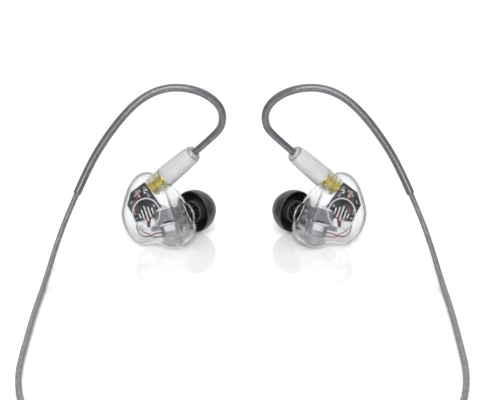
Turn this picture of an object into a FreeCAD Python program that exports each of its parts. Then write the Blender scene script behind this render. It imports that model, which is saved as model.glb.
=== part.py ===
"""A pair of detachable in-ear monitors that stand on a table with their moulded ear hooks up.

Row frame, in millimetres: +Z up, +X to the wearer's left monitor, and -Y the side that the two
clear faceplates look to.  The origin is the centre of the base of the two earphones together.

Each earphone is made once in its own frame and then placed:
    X across the faceplate, Y from the faceplate into the ear, Z up the faceplate,
    with the origin at the centre of the printed ring on the outer face.
The wearer's right earphone stands at -X.  The left one is its mirror image at +X.
"""

import FreeCAD, Part
import math
import os
from FreeCAD import Placement, Rotation, Vector

os.makedirs("parts", exist_ok=True)

# ---- Placing an earphone on the table ------------------------------------------------------
STAND_X = 28.6          # from the middle of the pair to the centre of the ring
STAND_Y = -5.35         # the ring's centre lies this far from the middle of the depth
STAND_Z = 9.45          # height of the ring's centre, which puts the lowest edge of the shell on Z = 0
YAW = 22.0              # the faceplates turn this far away from each other
LEAN = 17.0             # and lean back until the ear tip touches the table as well

# ---- Shell ---------------------------------------------------------------------------------
# The outline of the faceplate, round from the rear edge over the top to the lobe and the base.
OUTLINE = [(-8.2, 0.2), (-7.2, 6.0), (-4.6, 10.6), (-1.2, 12.1), (2.2, 11.0), (5.2, 7.4), (8.0, 2.4),
           (11.2, -2.6), (12.7, -6.4), (10.2, -8.6), (4.6, -8.3), (-0.8, -9.5), (-4.6, -7.5), (-7.4, -3.6)]
OUTLINE_CENTRE = (1.6, 0.8)
WALL = 0.8              # wall of the shell
PLATE = 1.0             # thickness of the faceplate
PLATE_EDGE = 0.45       # rounding of the faceplate's outer edge
BELLY = 2.5             # depth at which the shell is widest
DOME = 9.0              # from there to the closed end of the shell
BASE_RISE = 0.32        # the base rises this much per millimetre of depth, so it lies level on the table
STATIONS = (0.0, 0.14, 0.32, 0.5, 0.67, 0.81, 0.91, 0.975)

# ---- Nozzle and ear tip --------------------------------------------------------------------
NOZZLE_AT = (8.6, 13.8, 1.4)        # where the nozzle's axis meets the plane of the ear tip's rim
NOZZLE_TURN = 18.0      # the nozzle turns this far forward of straight in
NOZZLE_RISE = 16.5      # and this far up
NOZZLE_R = 2.6
NOZZLE_BACK = 4.4       # the nozzle starts this far behind the rim, inside the shell's end
NOZZLE_FRONT = 4.5      # and ends this far in front of it
LIP_R = 2.8             # bead that holds the ear tip
LIP_LONG = 1.0
BORE_R = 0.6            # each of the three sound bores
BORES_OUT = 1.15        # from the nozzle's axis to a bore's axis
SCREEN_R = 2.0
SCREEN_THICK = 0.35
TIP_R = 6.45            # ear tip, medium size
TIP_LONG = 8.0
TIP_WALL = 0.55
CORE_R = 3.5
CORE_BORE_R = 2.86      # clears the bead by 0.06
TIP_HOLE_R = 1.9

# ---- Push-fit coaxial connector -------------------------------------------------------------
SOCKET_FOOT = (2.55, 4.0, 10.65)    # centre of the connector boss's outer face
SOCKET_TILT = 44.0      # the connector's axis rises this far towards the front of the ear
BOSS_R = 3.15
BOSS_LONG = 4.3
SOCKET_IN = 0.8         # the socket sits this far inside the boss
SOCKET_R = 2.3
SOCKET_WAIST_R = 1.85
SOCKET_FLANGE_R = 2.05
SOCKET_END = 4.7
SOCKET_BORE_R = 1.45
PLUG_R = 1.2
PLUG_IN = 3.6           # depth that the plug goes in below the boss's face
COLLAR_R = 2.2
COLLAR_LONG = 2.2
GROOVE_AT = 2.75        # lower end of the snap ring's groove
RING_R = 1.39           # snap ring, 0.06 clear of the socket's bore
RING_LONG = 0.5
PIN_R = 0.22

# ---- Boot on the cable's end ---------------------------------------------------------------
BOOT_GAP = 0.25         # between the boss and the boot
BOOT_R = 3.2
BOOT_FRONT_R = 2.9      # the boot is this thick where its rounded end starts
BOOT_LONG = 12.5
BOOT_TAPER = 2.9
BOOT_END_R = 2.0
HOOK_IN = 1.0           # the ear hook goes this far into the boot

# ---- Cable ---------------------------------------------------------------------------------
HOOK_D = 2.1            # moulded ear hook over the cord
LEG_D = 1.6             # braided cord to one ear
MAIN_D = 2.4            # braided cord from the splitter to the plug
LEGS_APART = 2.6        # between the two cords where they enter the splitter
LEG_Z = 2.0             # and their height there
# The wearer's right ear hook, from the boot up over the ear and down behind it.
HOOK_ROUTE = [(-6.1, -3.2, 35.5), (-6.2, -3.9, 40.6), (-10.1, -4.4, 44.8), (-16.0, -5.1, 47.1),
              (-22.5, -5.8, 47.3), (-28.7, -6.7, 44.8), (-34.4, -7.9, 39.7), (-40.5, -9.2, 31.7),
              (-44.7, -10.7, 24.5)]
HOOK_RISE = 19.8        # before them it follows the boot's axis to this distance from the socket
# From the end of the hook down to the table, and over the table to the splitter.
LEG_ROUTE = [(-50.2, -17.5, 12.8), (-52.6, -26.0, 6.6), (-54.2, -39.2, 0.85), (-54.3, -58.0, 0.85),
             (-53.8, -80.0, 0.85), (-53.0, -102.0, 0.85), (-48.5, -121.5, 0.85), (-31.0, -129.5, 0.85)]
HOOK_SHARE = 0.55       # the hook ends this far along the run between the two routes
LEG_STRAIGHT = (-135.0, -164.5)     # the legs run side by side between these
SPLITTER_LONG = 19.0
MAIN_ROUTE = [(0.0, -192.0, 1.6), (6.0, -201.5, 1.25)]
COIL_AT = (0.0, -218.0)
COIL_R = 14.4           # to the middle of the turns
COIL_WIDE = 9.4
COIL_HIGH = 9.3
TIE_THICK = 0.6
TIE_TURN = 24.0         # the strap covers this much of the coil
TIE_AT = 130.0          # and starts at this angle round it
TAIL_ROUTE = [(-12.0, -233.9, 6.2), (-26.0, -227.5, 3.7), (-34.5, -215.0, 4.0)]
PLUG_AT = (-37.0, -200.0, 4.0)      # the cord ends here, in the plug's strain relief

# ---- Plug, 3.5 mm with three contacts ------------------------------------------------------
RELIEF_LONG = 9.0
RELIEF_R = (1.9, 2.9)
GRIP_LONG = 15.5
GRIP_R = 3.9
JACK_R = 1.75
JACK_LONG = 14.0
JACK_CORE_R = 0.9       # plastic core inside the contacts
JACK_RINGS = (6.3, 6.9, 9.3, 9.9)   # the two plastic rings lie between these


def direction(turn, rise):
    """Unit vector turned from +Y towards +X, then raised."""
    t, r = math.radians(turn), math.radians(rise)
    return Vector(math.sin(t) * math.cos(r), math.cos(t) * math.cos(r), math.sin(r))


NOZZLE_DIR = direction(NOZZLE_TURN, NOZZLE_RISE)
SOCKET_DIR = Vector(math.cos(math.radians(SOCKET_TILT)), 0, math.sin(math.radians(SOCKET_TILT)))


def on_axis(start, along, distance):
    return Vector(*start) + along * distance


def rod(start, along, low, high, radius):
    """Cylinder on an axis, between two distances from the axis's start."""
    return Part.makeCylinder(radius, high - low, on_axis(start, along, low), along)


def pipe(start, along, low, high, outer, inner):
    return rod(start, along, low, high, outer).cut(rod(start, along, low, high, inner))


def box(size, centre, turn, rounding=0.0):
    """Box of that size about its centre, turned about Y so that its +X end rises."""
    made = Part.makeBox(*size, Vector(*(-s / 2 for s in size)))
    if rounding:
        made = made.makeFillet(rounding, made.Edges)
    made.Placement = Placement(Vector(*centre), Rotation(Vector(0, 1, 0), -turn))
    return made


def revolved(points, start, along):
    """Solid of revolution about an axis.  Each point is (distance along the axis, radius), and a
    list of points asks for one smooth curve through them."""
    edges = []
    first = here = Vector(points[0][1], 0, points[0][0])
    for item in points[1:]:
        if isinstance(item, list):
            poles = [here] + [Vector(r, 0, a) for a, r in item]
            curve = Part.BSplineCurve()
            curve.interpolate(poles)
            edges.append(curve.toShape())
            here = poles[-1]
            continue
        there = Vector(item[1], 0, item[0])
        edges.append(Part.LineSegment(here, there).toShape())
        here = there
    edges.append(Part.LineSegment(here, first).toShape())
    solid = Part.Face(Part.Wire(edges)).revolve(Vector(0, 0, 0), Vector(0, 0, 1), 360)
    solid.Placement = Placement(Vector(*start), Rotation(Vector(0, 0, 1), along))
    return solid


# ---- Cords and tubes -----------------------------------------------------------------------
def path(points):
    """Straight runs joined by tangent arcs, with the least arc radius."""
    points = [Vector(*p) for p in points]
    edges, radii = [], []
    here = points[0]
    for before, corner, after in zip(points, points[1:], points[2:]):
        back, ahead = (before - corner), (after - corner)
        turn = math.pi - back.getAngle(ahead)
        cut = 0.45 * min(back.Length, ahead.Length)
        start = corner + back.normalize() * cut
        end = corner + ahead.normalize() * cut
        radius = cut / math.tan(turn / 2)
        to_middle = math.sqrt(radius * radius + cut * cut) - radius
        middle = corner + (start + end - corner * 2).normalize() * to_middle
        edges.append(Part.LineSegment(here, start).toShape())
        edges.append(Part.Arc(start, middle, end).toShape())
        radii.append(radius)
        here = end
    edges.append(Part.LineSegment(here, points[-1]).toShape())
    return Part.Wire(edges), min(radii, default=0.0)


def tube(points, diameter, said=""):
    """Round tube along a path.  With a name it prints how well the solid agrees with its length."""
    wire, radius = path(points)
    start = Vector(*points[0])
    circle = Part.Circle(start, Vector(*points[1]) - start, diameter / 2)
    solid = wire.makePipeShell([Part.Wire(circle.toShape())], True, False)
    if said:
        ratio = solid.Volume / (wire.Length * math.pi * diameter ** 2 / 4)
        print("%s: length %.1f, least radius %.1f = %.1f dia, volume ratio %.3f"
              % (said, wire.Length, radius, radius / diameter, ratio))
    return solid


# ---- The shell's skin ----------------------------------------------------------------------
def inset(points, distance):
    """The closed outline moved inwards by a distance, point by point."""
    moved = []
    for i, (x, z) in enumerate(points):
        (ax, az), (bx, bz) = points[i - 1], points[(i + 1) % len(points)]
        length = math.hypot(bx - ax, bz - az)
        moved.append((x + (bz - az) / length * distance, z - (bx - ax) / length * distance))
    return moved


def section(points, depth, share):
    """The outline at a depth, drawn in towards the nozzle's axis and shrunk to a share."""
    run = max(0.0, (depth - PLATE) / (BELLY + DOME - PLATE)) ** 2
    nozzle = on_axis(NOZZLE_AT, NOZZLE_DIR, (depth - NOZZLE_AT[1]) / NOZZLE_DIR.y)
    cx = OUTLINE_CENTRE[0] + (nozzle.x - OUTLINE_CENTRE[0]) * run
    cz = OUTLINE_CENTRE[1] + (nozzle.z - OUTLINE_CENTRE[1]) * run
    rise = BASE_RISE * (depth - PLATE)
    ring = []
    for x, z in points:
        across, up = x - OUTLINE_CENTRE[0], z - OUTLINE_CENTRE[1]
        up += rise * min(0.0, up / 10) ** 2
        ring.append(Vector(cx + across * share, depth, cz + up * share))
    curve = Part.BSplineCurve()
    curve.interpolate(ring, PeriodicFlag=True)
    return Part.Wire(curve.toShape())


def skin(points, dome):
    """Solid from the faceplate's inner side to a domed end."""
    wires = []
    for station in STATIONS:
        depth = PLATE + (BELLY + dome - PLATE) * station
        past = max(0.0, depth - BELLY) / dome
        wires.append(section(points, depth, math.sqrt(1 - past * past)))
    return Part.makeLoft(wires, True, False)


def bore_at(number):
    """Where a sound bore's axis crosses the plane of the rim: above the nozzle's axis, below it to the
    rear, and below it to the front."""
    right = NOZZLE_DIR.cross(Vector(0, 0, 1)).normalize()
    up = right.cross(NOZZLE_DIR)
    angle = math.radians(90 + 120 * number)
    return tuple(Vector(*NOZZLE_AT) + (right * math.cos(angle) + up * math.sin(angle)) * BORES_OUT)


def shell():
    """Clear body: a thin wall, the nozzle with its bead, and a solid boss around the socket."""
    outer = skin(OUTLINE, DOME)
    flare = revolved([(-NOZZLE_BACK, 0), (-NOZZLE_BACK, 4.3), [(-3.0, 3.5), (-1.6, 2.85), (-0.4, NOZZLE_R)],
                      (-0.4, 0)], NOZZLE_AT, NOZZLE_DIR)
    nozzle = rod(NOZZLE_AT, NOZZLE_DIR, -NOZZLE_BACK, NOZZLE_FRONT, NOZZLE_R)
    bead = NOZZLE_FRONT - LIP_LONG
    lip = revolved([(bead, 0), (bead, NOZZLE_R), [(bead + 0.5, LIP_R), (bead + 0.9, NOZZLE_R - 0.05)],
                    (bead + 0.9, 0)], NOZZLE_AT, NOZZLE_DIR)
    boss = rod(SOCKET_FOOT, SOCKET_DIR, -BOSS_LONG, 0, BOSS_R)
    nozzle_core = rod(NOZZLE_AT, NOZZLE_DIR, -NOZZLE_BACK, 0, NOZZLE_R + 0.6)
    cavity = skin(inset(OUTLINE, WALL), DOME - WALL).cut(boss).cut(nozzle_core)
    whole = outer.fuse([flare, nozzle, lip, boss]).cut(cavity)
    plate_side = Part.makeBox(60, PLATE, 60, Vector(-30, 0, -30))
    whole = whole.cut(plate_side)
    whole = whole.cut(socket_outside())
    whole = whole.cut(rod(SOCKET_FOOT, SOCKET_DIR, -SOCKET_IN - 0.1, 0.1, SOCKET_BORE_R + 0.25))
    whole = whole.cut(rod(SOCKET_FOOT, SOCKET_DIR, 0, 3, BOSS_R + 0.6))
    for number in range(3):
        whole = whole.cut(rod(bore_at(number), NOZZLE_DIR, -NOZZLE_BACK - 1, NOZZLE_FRONT, BORE_R))
    return whole.cut(rod(NOZZLE_AT, NOZZLE_DIR, NOZZLE_FRONT - SCREEN_THICK, NOZZLE_FRONT + 0.5, SCREEN_R))


def faceplate():
    """Clear cover with a rounded outer edge."""
    plate = Part.Face(section(OUTLINE, PLATE, 1.0)).extrude(Vector(0, -PLATE, 0))
    front = [e for e in plate.Edges if abs(e.BoundBox.YMax) < 1e-3 and abs(e.BoundBox.YMin) < 1e-3]
    plate = plate.makeFillet(PLATE_EDGE, front)
    plate = plate.cut(rod(SOCKET_FOOT, SOCKET_DIR, 0, 3, BOSS_R + 0.6))
    return plate.cut(rod(SOCKET_FOOT, SOCKET_DIR, -BOSS_LONG, 2, BOSS_R))


# ---- Connector -----------------------------------------------------------------------------
def socket_outside():
    """Outer shape of the socket: barrel, waist and solder flange."""
    return revolved([(-SOCKET_IN, 0), (-SOCKET_IN, SOCKET_R), (-2.4, SOCKET_R), (-2.8, SOCKET_WAIST_R),
                     (-3.7, SOCKET_WAIST_R), (-3.9, SOCKET_FLANGE_R), (-SOCKET_END, SOCKET_FLANGE_R),
                     (-SOCKET_END, 0)], SOCKET_FOOT, SOCKET_DIR)


def socket():
    whole = socket_outside().cut(rod(SOCKET_FOOT, SOCKET_DIR, -3.8, 0, SOCKET_BORE_R))
    whole = whole.cut(rod(SOCKET_FOOT, SOCKET_DIR, -SOCKET_END - 0.1, -3.7, 1.1))
    lead_in = revolved([(-SOCKET_IN, 0), (-SOCKET_IN, SOCKET_BORE_R + 0.25),
                        (-SOCKET_IN - 0.3, SOCKET_BORE_R), (-SOCKET_IN - 0.3, 0)], SOCKET_FOOT, SOCKET_DIR)
    return whole.cut(lead_in)


def socket_insulator():
    return pipe(SOCKET_FOOT, SOCKET_DIR, -SOCKET_END, -3.8, 1.1, 0.45)


def socket_contact():
    """Centre contact: a slotted tube that the pin goes into, with a solder tail."""
    tail = rod(SOCKET_FOOT, SOCKET_DIR, -SOCKET_END - 0.4, -3.6, 0.45)
    hollow = pipe(SOCKET_FOOT, SOCKET_DIR, -3.6, -2.3, 0.45, PIN_R + 0.05)
    slot = Part.makeBox(0.12, 2.0, 1.1, Vector(-0.06, -1.0, 0))
    slot.Placement = Placement(on_axis(SOCKET_FOOT, SOCKET_DIR, -3.3), Rotation(Vector(0, 0, 1), SOCKET_DIR))
    return hollow.cut(slot).fuse(tail)


def plug_body():
    """The cable's half: a collar in the boot and a nose with a groove for the snap ring."""
    groove = PLUG_R - 0.22
    return revolved([(-PLUG_IN, 0.55), (-PLUG_IN, PLUG_R - 0.15), (-PLUG_IN + 0.2, PLUG_R),
                     (-GROOVE_AT, PLUG_R), (-GROOVE_AT, groove), (-GROOVE_AT + RING_LONG + 0.1, groove),
                     (-GROOVE_AT + RING_LONG + 0.1, PLUG_R), (BOOT_GAP, PLUG_R), (BOOT_GAP, COLLAR_R),
                     (COLLAR_LONG, COLLAR_R), (COLLAR_LONG, 0.55)], SOCKET_FOOT, SOCKET_DIR)


def plug_insulator():
    return pipe(SOCKET_FOOT, SOCKET_DIR, -2.0, COLLAR_LONG, 0.55, PIN_R)


def plug_pin():
    return rod(SOCKET_FOOT, SOCKET_DIR, -3.3, COLLAR_LONG + 0.5, PIN_R)


def snap_ring():
    """Split ring in the plug's groove, which turns there with the socket that it grips."""
    foot = -GROOVE_AT + 0.05
    ring = pipe(SOCKET_FOOT, SOCKET_DIR, foot, foot + RING_LONG, RING_R, PLUG_R - 0.17)
    gap = Part.makeBox(0.5, 2.0, 1.0, Vector(-0.25, 0, -0.2))
    gap.Placement = Placement(on_axis(SOCKET_FOOT, SOCKET_DIR, foot), Rotation(Vector(0, 0, 1), SOCKET_DIR))
    return ring.cut(gap)


def boot():
    """Soft barrel over the plug, rounded down to the ear hook."""
    end = BOOT_GAP + BOOT_LONG
    knee = end - BOOT_TAPER
    solid = revolved([(BOOT_GAP, 0), (BOOT_GAP, BOOT_R - 0.35),
                      [(BOOT_GAP + 0.1, BOOT_R - 0.1), (BOOT_GAP + 0.35, BOOT_R)], (knee, BOOT_FRONT_R),
                      [(knee + 1.2, BOOT_FRONT_R - 0.17), (end - 0.55, BOOT_END_R + 0.35), (end, BOOT_END_R)],
                      (end, 0)], SOCKET_FOOT, SOCKET_DIR)
    collar_seat = rod(SOCKET_FOOT, SOCKET_DIR, 0, COLLAR_LONG, COLLAR_R)
    solder_space = rod(SOCKET_FOOT, SOCKET_DIR, COLLAR_LONG - 0.1, COLLAR_LONG + 1.2, 1.3)
    hook_seat = rod(SOCKET_FOOT, SOCKET_DIR, end - HOOK_IN, end + 1, HOOK_D / 2)
    return solid.cut(collar_seat).cut(solder_space).cut(hook_seat)


# ---- Drivers, crossover and sound tubes ----------------------------------------------------
DRIVER_TURN = 21.5      # the drivers lie at this angle in the shell
BOARD = [(-2.3, 8.9), (3.2, 3.1), (4.0, 2.4), (-0.2, -1.0), (-3.5, -3.1), (-7.0, 1.6), (-6.3, 5.4)]
BOARD_FRONT = 1.45
BOARD_THICK = 0.7
MID_AT = (3.9, 5.0, -0.5)
HIGH_AT = (6.8, 4.25, -4.2)
LOW_AT = (-2.45, 3.7, 0.9)


def crossover_board():
    wire = Part.makePolygon([Vector(x, BOARD_FRONT, z) for x, z in BOARD + BOARD[:1]])
    return Part.Face(wire).extrude(Vector(0, BOARD_THICK, 0))


def crossover_parts():
    """Chip parts and domed solder joints on the front of the board."""
    chips = [((1.6, 0.36, 0.8), (-3.9, 5.9), 30), ((1.0, 0.36, 0.5), (-5.6, 2.6), 75),
             ((1.2, 0.36, 0.6), (-0.3, 5.2), -48), ((1.0, 0.36, 0.5), (-4.0, -0.6), -57)]
    made = [box(size, (x, BOARD_FRONT - size[1] / 2, z), turn) for size, (x, z), turn in chips]
    for x, z in [(-4.6, 4.6), (-2.0, 7.2), (1.8, 2.5), (-2.0, -1.3), (0.1, 0.3), (-3.4, -2.0)]:
        joint = Part.makeSphere(0.48, Vector(x, BOARD_FRONT, z))
        made.append(joint.common(Part.makeBox(2, 0.32, 2, Vector(x - 1, BOARD_FRONT - 0.32, z - 1))))
    return Part.makeCompound(made)


def low_driver():
    return box((6.6, 2.2, 4.6), LOW_AT, DRIVER_TURN + 90, 0.25)


def mid_driver():
    return box((5.9, 3.0, 3.95), MID_AT, DRIVER_TURN, 0.25)


def high_driver():
    """Small driver with its terminal block on the rear end."""
    turn = math.radians(DRIVER_TURN)
    rear = (HIGH_AT[0] - 2.4 * math.cos(turn), HIGH_AT[1], HIGH_AT[2] - 2.4 * math.sin(turn))
    return box((4.0, 2.4, 3.5), HIGH_AT, DRIVER_TURN, 0.2).fuse(box((1.0, 1.7, 2.7), rear, DRIVER_TURN))


def driver_cradle():
    """Clear white carrier: a pad below the board and a rest under the middle driver."""
    pad = box((2.8, 1.5, 2.3), (-1.5, 2.95, -3.75), 30, 0.2)
    rest = box((2.6, 2.2, 1.3), (2.1, 4.3, -4.3), DRIVER_TURN, 0.15)
    return Part.makeCompound([pad, rest])


TUBE_D = 1.4
TUBE_BORE_D = 0.9
TUBE_STARTS = [[(-1.2, 4.8, 2.8), (-1.2, 7.2, 2.8)], [(5.6, 6.5, -1.4), (5.6, 7.4, -1.4)],
               [(7.9, 5.45, -3.7), (7.9, 7.1, -3.7)]]


def sound_tubes():
    """A clear tube from each driver to its own bore in the nozzle."""
    made = []
    for number, start in enumerate(TUBE_STARTS):
        end = on_axis(bore_at(number), NOZZLE_DIR, -NOZZLE_BACK)
        route = start + [tuple(end - NOZZLE_DIR * 1.6), tuple(end)]
        made.append(tube(route, TUBE_D).cut(tube(route, TUBE_BORE_D)))
    return Part.makeCompound(made)


WIRE_D = 0.34
WIRES = [[(-0.2, 1.24, 0.6), (0.3, 1.24, -1.6), (0.5, 2.0, -2.9)],
         [(0.2, 1.24, 0.5), (0.8, 1.24, -1.8), (0.1, 2.0, -2.9)],
         [(-4.6, 1.24, 4.3), (-4.5, 1.24, 1.6), (-3.5, 1.24, -1.8)],
         [(-3.3, 1.6, -3.2), (-3.2, 1.7, -5.3), (-1.4, 2.1, -7.1), (1.0, 2.5, -6.7), (2.4, 3.3, -5.6),
          (4.3, 3.9, -5.2)],
         [(-2.6, 1.9, -5.0), (-1.7, 2.7, -5.8), (0.4, 3.1, -6.1), (2.2, 2.7, -7.1), (4.4, 3.8, -6.3)]]


def driver_wires():
    return Part.makeCompound([tube(route, WIRE_D) for route in WIRES])


def dampers():
    return Part.makeCompound([rod(bore_at(number), NOZZLE_DIR, 1.0, 2.6, BORE_R) for number in range(3)])


def nozzle_screen():
    return rod(NOZZLE_AT, NOZZLE_DIR, NOZZLE_FRONT - SCREEN_THICK, NOZZLE_FRONT, SCREEN_R)


def ear_tip():
    """Soft silicone tip: a core that grips the nozzle, and a dome that folds back from its front end."""
    skirt = TIP_R - TIP_WALL
    return revolved([(0.0, CORE_BORE_R), (0.0, CORE_R - 0.15), (0.15, CORE_R), (TIP_LONG - 2.6, CORE_R),
                     [(TIP_LONG - 1.85, CORE_R + 0.55), (TIP_LONG - 2.6, CORE_R + 1.2), (2.6, skirt - 0.12),
                      (0.25, skirt + 0.05)],
                     [(0.0, TIP_R - TIP_WALL / 2), (0.25, TIP_R)],
                     [(1.6, TIP_R - 0.05), (3.6, TIP_R - 0.6), (5.5, TIP_R - 1.75), (6.9, TIP_R - 3.2),
                      (TIP_LONG - 0.15, TIP_HOLE_R + 0.75)],
                     [(TIP_LONG, TIP_HOLE_R + 0.35), (TIP_LONG - 0.1, TIP_HOLE_R)],
                     (NOZZLE_FRONT + 0.35, TIP_HOLE_R), (NOZZLE_FRONT + 0.35, CORE_BORE_R)],
                    NOZZLE_AT, NOZZLE_DIR)


# ---- Cable pieces, in the row frame --------------------------------------------------------
STANCE = Placement(Vector(-STAND_X, STAND_Y, STAND_Z),
                   Rotation(Vector(0, 0, 1), -YAW).multiply(Rotation(Vector(1, 0, 0), -LEAN)))
HOOK_END = Vector(*HOOK_ROUTE[-1]) * (1 - HOOK_SHARE) + Vector(*LEG_ROUTE[0]) * HOOK_SHARE
SPLITTER_FRONT = LEG_STRAIGHT[1] + 1.5
SPLITTER_BACK = SPLITTER_FRONT - SPLITTER_LONG
COIL_MIDDLE = Vector(*COIL_AT, COIL_HIGH / 2 + TIE_THICK + 0.05)
PLUG_DIR = (Vector(*PLUG_AT) - Vector(*TAIL_ROUTE[-1])).normalize()
RELIEF_AT = tuple(Vector(*PLUG_AT) - PLUG_DIR * (RELIEF_LONG - 1.0))
GRIP_AT = on_axis(RELIEF_AT, PLUG_DIR, RELIEF_LONG)
JACK_AT = on_axis(GRIP_AT, PLUG_DIR, GRIP_LONG)


def ear_hook():
    seat = BOOT_GAP + BOOT_LONG - HOOK_IN
    rise = [tuple(STANCE.multVec(on_axis(SOCKET_FOOT, SOCKET_DIR, s))) for s in (seat, HOOK_RISE)]
    return tube(rise + HOOK_ROUTE + [tuple(HOOK_END)], HOOK_D, "ear_hook")


def leg_cord():
    straight = [(-LEGS_APART / 2, y, LEG_Z) for y in LEG_STRAIGHT]
    return tube([tuple(HOOK_END)] + LEG_ROUTE + straight, LEG_D, "leg_cord")


def lozenge(wide, high, long, centre, rounding):
    """Rounded block along Y."""
    made = Part.makeBox(wide, long, high, Vector(*centre) - Vector(wide / 2, long / 2, high / 2))
    along = [e for e in made.Edges if abs(e.tangentAt(e.FirstParameter).y) > 0.9]
    made = made.makeFillet(rounding, along)
    return made.makeFillet(0.5, [e for e in made.Edges if abs(e.tangentAt(e.FirstParameter).y) < 0.1])


def bored(shape, centres, y_low, y_high, radius):
    for x, z in centres:
        shape = shape.cut(Part.makeCylinder(radius, y_high - y_low, Vector(x, y_low, z), Vector(0, 1, 0)))
    return shape


LEG_CENTRES = [(side * LEGS_APART / 2, LEG_Z) for side in (-1, 1)]


def splitter():
    middle = (0, (SPLITTER_FRONT + SPLITTER_BACK) / 2, LEG_Z)
    body = lozenge(6.4, 3.8, SPLITTER_LONG, middle, 1.7)
    body = bored(body, LEG_CENTRES, LEG_STRAIGHT[1], SPLITTER_FRONT + 1, LEG_D / 2)
    return bored(body, [(0, LEG_Z)], SPLITTER_BACK - 1, SPLITTER_BACK + 1.5, MAIN_D / 2)


def chin_slider():
    """Bead that slides on both cords to draw them together under the chin."""
    middle = (0, SPLITTER_FRONT + 0.6 + 3, LEG_Z)
    return bored(lozenge(6.4, 3.8, 6.0, middle, 1.7), LEG_CENTRES, -300, 0, LEG_D / 2 + 0.06)


def outside_coil(cord):
    """The part of a cord that runs free of the coil."""
    return max(cord.cut(cord_coil()).Solids, key=lambda solid: solid.Volume)


def main_cord():
    start = (0.0, SPLITTER_BACK + 1.5, LEG_Z)
    into_coil = (COIL_R, COIL_AT[1] + 5.0, 3.0)
    return outside_coil(tube([start] + MAIN_ROUTE + [into_coil], MAIN_D, "main_cord"))


def turned_section(grown, angle):
    """The section of the coil's turns, grown all round, and turned about the coil's axis."""
    oval = Part.Ellipse(Vector(0, 0, 0), COIL_WIDE / 2 + grown, COIL_HIGH / 2 + grown)
    face = Part.Face(Part.Wire(oval.toShape()))
    face.Placement = Placement(Vector(COIL_R, 0, 0), Rotation(Vector(1, 0, 0), 90))
    solid = face.revolve(Vector(0, 0, 0), Vector(0, 0, 1), angle)
    solid.rotate(Vector(0, 0, 0), Vector(0, 0, 1), TIE_AT)
    solid.translate(COIL_MIDDLE)
    return solid


def cord_coil():
    """The rest of the cable as one closed solid: the outer shape of its turns."""
    return turned_section(0.0, 360)


def plug_cord():
    start = (-2.0, COIL_AT[1] - COIL_R - 1.5, 7.0)
    return outside_coil(tube([start] + TAIL_ROUTE + [PLUG_AT], MAIN_D, "plug_cord"))


def coil_tie():
    """Hook-and-loop strap around the coil's turns."""
    return turned_section(TIE_THICK, TIE_TURN).cut(turned_section(0.0, TIE_TURN))


def plug_relief():
    seat = RELIEF_LONG - 1.0
    cone = revolved([(0, MAIN_D / 2), (0, RELIEF_R[0]), (RELIEF_LONG, RELIEF_R[1]), (RELIEF_LONG, 0),
                     (seat, 0), (seat, MAIN_D / 2)], RELIEF_AT, PLUG_DIR)
    return cone


def plug_grip():
    return revolved([(0, 0), (0, GRIP_R - 0.6), (0.6, GRIP_R), (GRIP_LONG - 3.5, GRIP_R),
                     (GRIP_LONG - 3.5, GRIP_R - 0.5), (GRIP_LONG - 0.3, GRIP_R - 0.5),
                     (GRIP_LONG, GRIP_R - 0.8), (GRIP_LONG, 0)], GRIP_AT, PLUG_DIR)


def jack_sleeve():
    return pipe(JACK_AT, PLUG_DIR, 0, JACK_RINGS[0], JACK_R, JACK_CORE_R)


def jack_ring():
    return pipe(JACK_AT, PLUG_DIR, JACK_RINGS[1], JACK_RINGS[2], JACK_R, JACK_CORE_R)


def jack_tip():
    return revolved([(JACK_RINGS[3], 0), (JACK_RINGS[3], JACK_R), (11.0, JACK_R), (11.9, 1.15),
                     [(12.7, 1.65), (13.5, 1.15), (JACK_LONG, 0.4)], (JACK_LONG, 0)], JACK_AT, PLUG_DIR)


def jack_insulators():
    core = rod(JACK_AT, PLUG_DIR, 0, JACK_RINGS[3], JACK_CORE_R)
    rings = [rod(JACK_AT, PLUG_DIR, low, high, JACK_R) for low, high in (JACK_RINGS[:2], JACK_RINGS[2:])]
    return core.fuse(rings)


def write(shape, name):
    print(name, "valid" if shape.isValid() else "NOT VALID", len(shape.Solids), "solids, %.2f mm3" % shape.Volume)
    shape.exportStep("parts/%s.step" % name)


def both(shape, name):
    """The wearer's right piece, in place, and its mirror image for the left."""
    write(shape, "right_" + name)
    write(shape.mirror(Vector(0, 0, 0), Vector(1, 0, 0)), "left_" + name)


EARPHONE = [shell, faceplate, socket, socket_insulator, socket_contact, crossover_board, crossover_parts,
            low_driver, mid_driver, high_driver, driver_cradle, sound_tubes, driver_wires, dampers,
            nozzle_screen, ear_tip, plug_body, plug_insulator, plug_pin, snap_ring, boot]
for make in EARPHONE:
    shape = make()
    shape.Placement = STANCE.multiply(shape.Placement)
    both(shape, make.__name__)
for make in (ear_hook, leg_cord):
    both(make(), make.__name__)
for make in (splitter, chin_slider, main_cord, cord_coil, coil_tie, plug_cord, plug_relief, plug_grip,
             jack_sleeve, jack_ring, jack_tip, jack_insulators):
    write(make(), make.__name__)
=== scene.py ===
"""Looks for the pair of in-ear monitors: materials, cords, printed marks, wiring, floor, light and camera.

Everything is in metres in the row frame: +Z up, +X to the wearer's left earphone, -Y to the camera.
Route points, profiles and sizes below are in millimetres, and MM turns them into metres.
"""

import math

import bmesh
import bpy
import numpy as np
from mathutils import Matrix, Vector


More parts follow.
